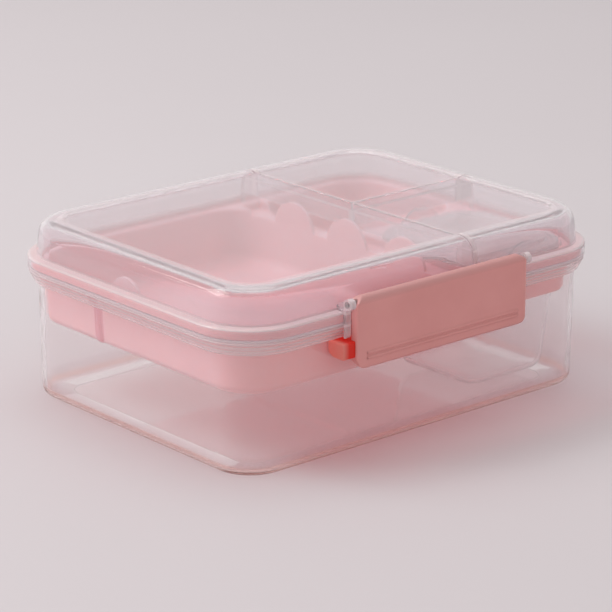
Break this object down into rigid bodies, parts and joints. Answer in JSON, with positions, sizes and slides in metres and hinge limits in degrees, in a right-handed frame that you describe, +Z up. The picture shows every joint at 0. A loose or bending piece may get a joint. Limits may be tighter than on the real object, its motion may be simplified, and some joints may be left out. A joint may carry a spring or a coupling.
{
  "type": "lunch box",
  "caption": "Clear rectangular food container with a hinged domed lid, a pink snap latch, a pink compartment tray and a clear capped side cup.",
  "frame": {"origin": "centre of the footprint on the resting face, on the underside of the base", "axes": "+X along the long side, +Y from the latch side to the hinge side, +Z up"},
  "size_m": [0.24, 0.2018, 0.091],
  "materials": {
    "clear_base": "clear injection-moulded plastic, glossy",
    "clear_lid": "clear injection-moulded plastic, glossy",
    "clear_cup": "clear injection-moulded plastic, glossy",
    "cap_milky": "natural translucent soft plastic",
    "pin_plastic": "natural translucent plastic",
    "gasket_pink": "soft pink silicone",
    "latch_pink": "opaque dusty pink moulded plastic, satin",
    "tray_pink": "pink moulded plastic, slightly translucent satin"
  },
  "bodies": {
    "base": {"base_box": "clear_base", "hinge_pins": "pin_plastic"},
    "lid": {"lid_shell": "clear_lid", "lid_gasket": "gasket_pink", "latch_pin": "pin_plastic"},
    "latch": {"front_latch": "latch_pink"},
    "tray": {"food_tray": "tray_pink"},
    "cup": {"side_cup": "clear_cup"},
    "cap": {"cup_cap": "cap_milky"}
  },
  "joints": [
    {"name": "lid_hinge", "type": "hinge", "parent": "base", "child": "lid", "pos_m": [0, 0.0982, 0.066], "axis": [-1, 0, 0], "range_deg": [0, 120]},
    {"name": "latch_hinge", "type": "hinge", "parent": "lid", "child": "latch", "pos_m": [0, -0.0963, 0.078], "axis": [-1, 0, 0], "range_deg": [0, 120]},
    {"name": "tray_lift", "type": "slide", "parent": "base", "child": "tray", "axis": [0, 0, 1], "range_m": [0, 0.038]},
    {"name": "cup_lift", "type": "slide", "parent": "tray", "child": "cup", "axis": [0, 0, 1], "range_m": [0, 0.06]},
    {"name": "cap_lift", "type": "slide", "parent": "cup", "child": "cap", "axis": [0, 0, 1], "range_m": [0, 0.025]}
  ],
  "couplings": [
    {"joint": "tray_lift", "follows": "lid_hinge", "m_per_rad": 0.0181},
    {"joint": "cup_lift", "follows": "lid_hinge", "m_per_rad": 0.0286},
    {"joint": "cap_lift", "follows": "lid_hinge", "m_per_rad": 0.0119}
  ]
}
